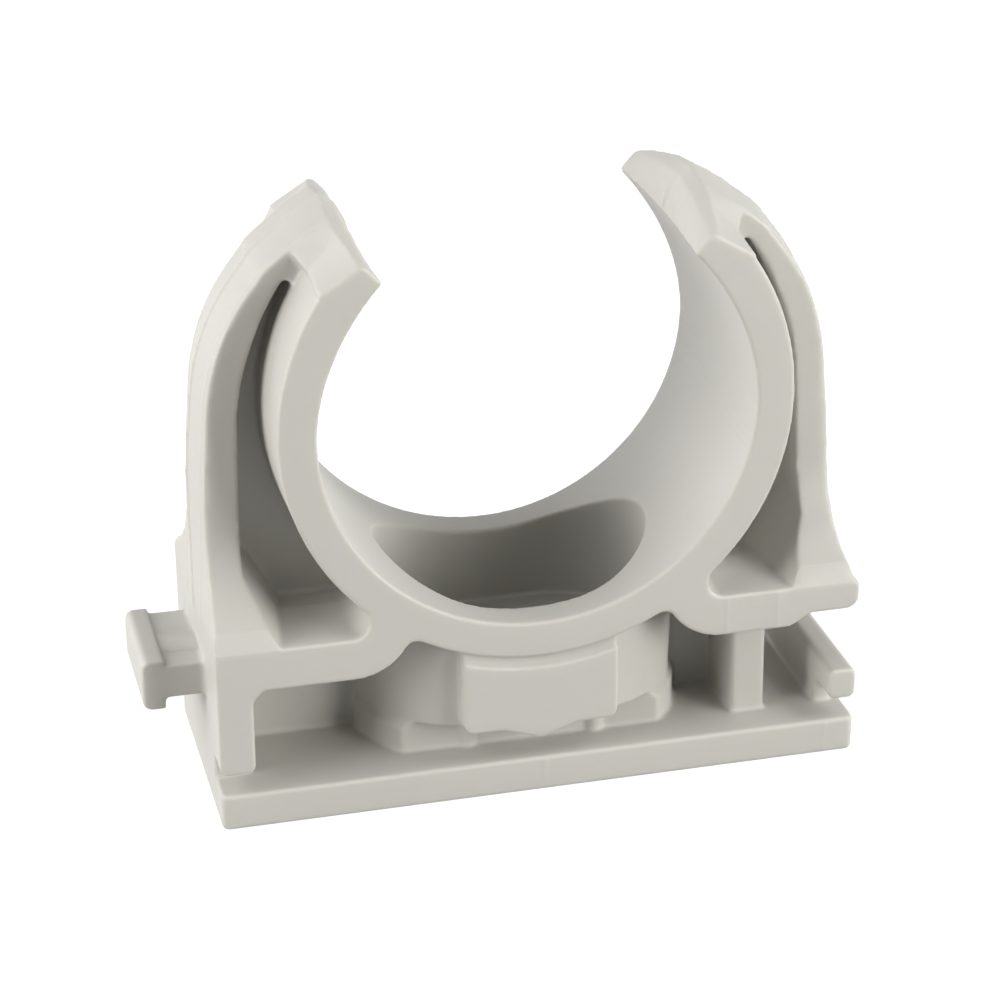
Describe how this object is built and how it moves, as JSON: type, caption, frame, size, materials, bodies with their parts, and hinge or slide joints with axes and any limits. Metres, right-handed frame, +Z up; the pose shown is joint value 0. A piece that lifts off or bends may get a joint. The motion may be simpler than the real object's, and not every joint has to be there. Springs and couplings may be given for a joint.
{
  "type": "conduit clip",
  "caption": "One-piece plastic clip that holds a round conduit: open spring ring on a flat screw-down base, with a T-lug and a slot at its ends for joining clips in a row.",
  "frame": {"origin": "on the underside of the base plate, in the middle of the screw hole and straight below the bore's axis", "axes": "+Z up from the base to the open mouth, Y along the conduit with the plaque on the -Y side, +X towards the slot"},
  "size_m": [0.0414, 0.015, 0.0347],
  "materials": {
    "plastic": "fine matt moulded plastic in a warm light grey"
  },
  "bodies": {
    "root": {"conduit_clip": "plastic"}
  },
  "joints": []
}
